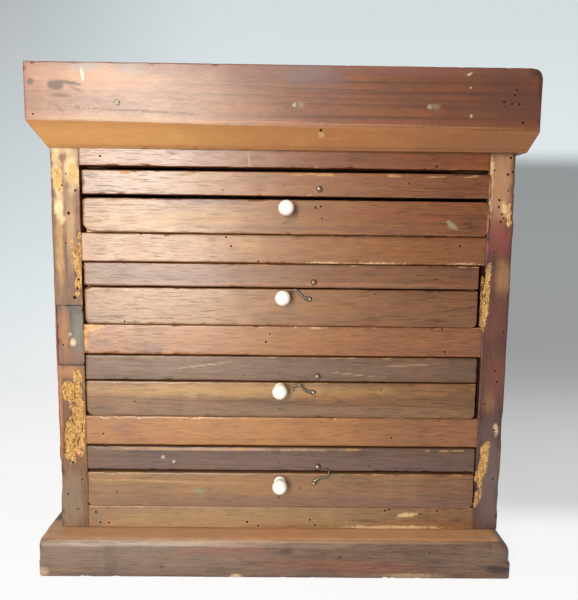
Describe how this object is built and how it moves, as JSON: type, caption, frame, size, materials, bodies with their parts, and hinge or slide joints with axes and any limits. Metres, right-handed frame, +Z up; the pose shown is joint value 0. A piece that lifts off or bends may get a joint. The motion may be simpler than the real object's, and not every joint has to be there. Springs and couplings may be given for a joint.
{
  "type": "type case cabinet",
  "caption": "Old pine table-top type cabinet: heavy mitred cornice, thick base plank and lidded cases with hooks, pins and white knobs that slide out between front rails.",
  "frame": {"origin": "on the underside of the base plank, in the middle of the case opening and of the carcass depth", "axes": "+Z up, -Y out of the front, +X to the right seen from the front"},
  "size_m": [0.485, 0.3534, 0.503],
  "materials": {
    "base_wood": "worn, dark brown stained pine",
    "side_wood": "worn, worm-eaten pine with pale patches",
    "patch_wood": "planed pine, older repair",
    "rail_wood": "old varnish over orange pine",
    "case_wood": "worn varnish over pine",
    "lid_wood": "worn varnish over pine, greyed",
    "inner_wood": "bare sawn pine",
    "cornice_wood": "worn red-brown stained pine",
    "porcelain": "white glaze, gloss",
    "brass": "tarnished brass",
    "nail_iron": "rusty iron"
  },
  "bodies": {
    "carcass": {"base": "base_wood", "side_left": "side_wood", "side_right": "side_wood", "side_patch": "patch_wood", "rail_bottom": "rail_wood", "rail_4": "rail_wood", "rail_3": "rail_wood", "rail_2": "rail_wood", "rail_top": "rail_wood", "runners": "inner_wood", "kickers": "inner_wood", "back_boards": "inner_wood", "top_panel": "cornice_wood", "cornice_front": "cornice_wood", "cornice_left": "cornice_wood", "cornice_right": "cornice_wood", "nails": "nail_iron"},
    "case_1": {"case_1_front": "case_wood", "case_1_walls": "inner_wood", "case_1_bottom": "inner_wood", "case_1_dividers": "inner_wood", "case_1_knob": "porcelain", "case_1_fittings": "brass"},
    "lid_1": {"lid_1_frame": "lid_wood", "lid_1_panel": "lid_wood", "lid_1_leaves": "brass", "lid_1_pin": "brass"},
    "case_2": {"case_2_front": "case_wood", "case_2_walls": "inner_wood", "case_2_bottom": "inner_wood", "case_2_dividers": "inner_wood", "case_2_knob": "porcelain", "case_2_fittings": "brass"},
    "lid_2": {"lid_2_frame": "lid_wood", "lid_2_panel": "lid_wood", "lid_2_leaves": "brass", "lid_2_pin": "brass"},
    "hook_2": {"hook_2": "brass"},
    "case_3": {"case_3_front": "case_wood", "case_3_walls": "inner_wood", "case_3_bottom": "inner_wood", "case_3_dividers": "inner_wood", "case_3_knob": "porcelain", "case_3_fittings": "brass"},
    "lid_3": {"lid_3_frame": "lid_wood", "lid_3_panel": "lid_wood", "lid_3_leaves": "brass", "lid_3_pin": "brass"},
    "hook_3": {"hook_3": "brass"},
    "case_4": {"case_4_front": "case_wood", "case_4_walls": "inner_wood", "case_4_bottom": "inner_wood", "case_4_dividers": "inner_wood", "case_4_knob": "porcelain", "case_4_fittings": "brass"},
    "lid_4": {"lid_4_frame": "lid_wood", "lid_4_panel": "lid_wood", "lid_4_leaves": "brass", "lid_4_pin": "brass"},
    "hook_4": {"hook_4": "brass"}
  },
  "joints": [
    {"name": "case_1_slide", "type": "slide", "parent": "carcass", "child": "case_1", "axis": [0, -1, 0], "range_m": [-0.007, 0.3]},
    {"name": "lid_1_hinge", "type": "hinge", "parent": "case_1", "child": "lid_1", "pos_m": [0.0018, 0.1404, 0.37938], "axis": [-1, 0, 0], "range_deg": [-0.56, 0.8]},
    {"name": "case_2_slide", "type": "slide", "parent": "carcass", "child": "case_2", "axis": [0, -1, 0], "range_m": [-0.003, 0.3]},
    {"name": "lid_2_hinge", "type": "hinge", "parent": "case_2", "child": "lid_2", "pos_m": [-0.002, 0.1444, 0.29218], "axis": [-1, 0, 0], "range_deg": [-0.186, 0.075]},
    {"name": "hook_2_pivot", "type": "hinge", "parent": "case_2", "child": "hook_2", "pos_m": [0.0257, -0.1638, 0.2823], "axis": [0, -1, 0], "range_deg": [-60, 264]},
    {"name": "case_3_slide", "type": "slide", "parent": "carcass", "child": "case_3", "axis": [0, -1, 0], "range_m": [-0.002, 0.3]},
    {"name": "lid_3_hinge", "type": "hinge", "parent": "case_3", "child": "lid_3", "pos_m": [-0.0012, 0.1454, 0.19717], "axis": [-1, 0, 0], "range_deg": [-0.167, 0.075]},
    {"name": "hook_3_pivot", "type": "hinge", "parent": "case_3", "child": "hook_3", "pos_m": [0.031, -0.1628, 0.1873], "axis": [0, -1, 0], "range_deg": [-66, 260]},
    {"name": "case_4_slide", "type": "slide", "parent": "carcass", "child": "case_4", "axis": [0, -1, 0], "range_m": [-0.003, 0.3]},
    {"name": "lid_4_hinge", "type": "hinge", "parent": "case_4", "child": "lid_4", "pos_m": [-0.0005, 0.1444, 0.10157], "axis": [-1, 0, 0], "range_deg": [-0.484, 0.08]},
    {"name": "hook_4_pivot", "type": "hinge", "parent": "case_4", "child": "hook_4", "pos_m": [0.0329, -0.1638, 0.0917], "axis": [0, -1, 0], "range_deg": [-300, 24]}
  ]
}
